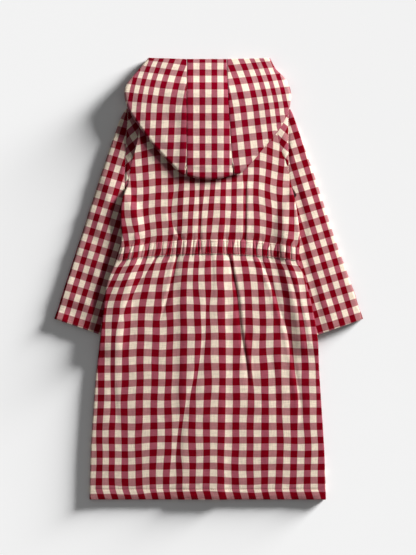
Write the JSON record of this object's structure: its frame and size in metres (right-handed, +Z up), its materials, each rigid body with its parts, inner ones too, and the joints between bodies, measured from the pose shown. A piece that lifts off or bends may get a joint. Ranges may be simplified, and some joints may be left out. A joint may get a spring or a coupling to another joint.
{
  "type": "hooded dressing gown",
  "caption": "Child's hooded dressing gown in woven check cotton, laid flat on its front, with a gathered elastic waist across the back.",
  "frame": {"origin": "centre of the bounding box on the surface that the gown lies on", "axes": "+Z up, away from the surface; +Y from hem to hood; the wearer's left is at -X, because the gown lies on its front"},
  "size_m": [0.619, 0.8868, 0.0266],
  "materials": {
    "body_cloth": "matt woven check cotton, dark red and cream",
    "sleeve_cloth": "matt woven check cotton, dark red and cream",
    "hood_cloth": "matt woven check cotton, dark red and cream",
    "tunnel_cloth": "matt woven check cotton, gathered over elastic"
  },
  "bodies": {
    "root": {"back": "body_cloth", "front_left": "body_cloth", "front_right": "body_cloth", "sleeve_left": "sleeve_cloth", "sleeve_right": "sleeve_cloth", "hood_side_left": "hood_cloth", "hood_side_right": "hood_cloth", "hood_strip": "hood_cloth", "waist_tunnel": "tunnel_cloth"}
  },
  "joints": []
}
